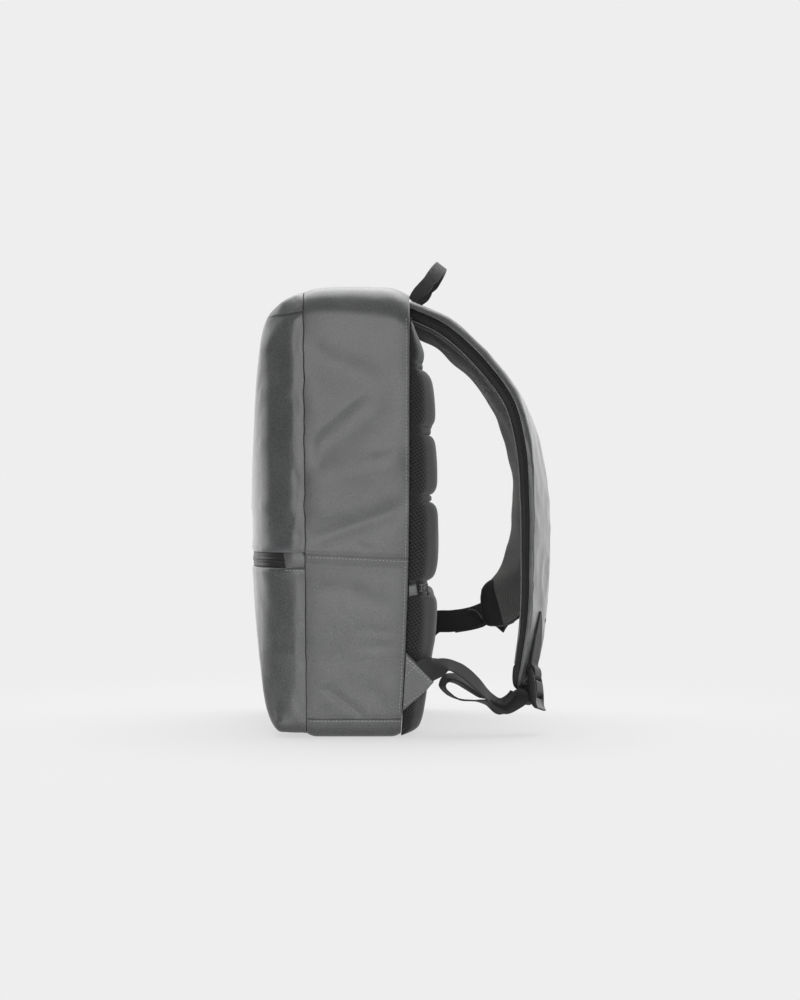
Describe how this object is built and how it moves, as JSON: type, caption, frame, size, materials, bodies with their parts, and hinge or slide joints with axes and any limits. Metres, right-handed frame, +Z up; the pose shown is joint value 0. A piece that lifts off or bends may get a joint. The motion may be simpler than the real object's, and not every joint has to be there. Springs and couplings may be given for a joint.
{
  "type": "laptop backpack",
  "caption": "Upright rectangular laptop backpack with a domed front panel, front pocket zip, ribbed mesh back cushion, padded shoulder straps with ladder locks and a top carry handle.",
  "frame": {"origin": "middle of the flat base, where the bag stands on the floor", "axes": "+Z up; +Y towards the back cushion and the wearer; +X towards the wearer's right"},
  "size_m": [0.3026, 0.3121, 0.4916],
  "materials": {
    "coated_cloth": "satin",
    "air_mesh": "matte",
    "back_cloth": "matte",
    "zip_tape": "matte",
    "zip_metal": "satin",
    "webbing": "matte",
    "handle_tape": "matte",
    "buckle_plastic": "satin"
  },
  "bodies": {
    "root": {"gusset_upper": "coated_cloth", "side_pocket_right": "coated_cloth", "side_pocket_left": "coated_cloth", "base_panel": "coated_cloth", "front_panel_upper": "coated_cloth", "front_panel_lower": "coated_cloth", "front_zip_tape": "zip_tape", "front_zip_garage_right": "coated_cloth", "front_zip_garage_left": "coated_cloth", "front_zip_slider": "zip_metal", "back_panel": "back_cloth", "back_cushion_upper": "air_mesh", "back_cushion_lower": "air_mesh", "back_zip_tape": "zip_tape", "back_zip_garage_right": "coated_cloth", "back_zip_garage_left": "coated_cloth", "back_zip_slider": "zip_metal", "carry_handle": "handle_tape", "shoulder_pad_right": "air_mesh", "shoulder_pad_left": "air_mesh", "shoulder_cover_right": "coated_cloth", "shoulder_cover_left": "coated_cloth", "buckle_loop_right": "webbing", "buckle_loop_left": "webbing", "ladder_lock_right": "buckle_plastic", "ladder_lock_left": "buckle_plastic", "webbing_right": "webbing", "webbing_left": "webbing", "anchor_tab_right": "coated_cloth", "anchor_tab_left": "coated_cloth"}
  },
  "joints": []
}
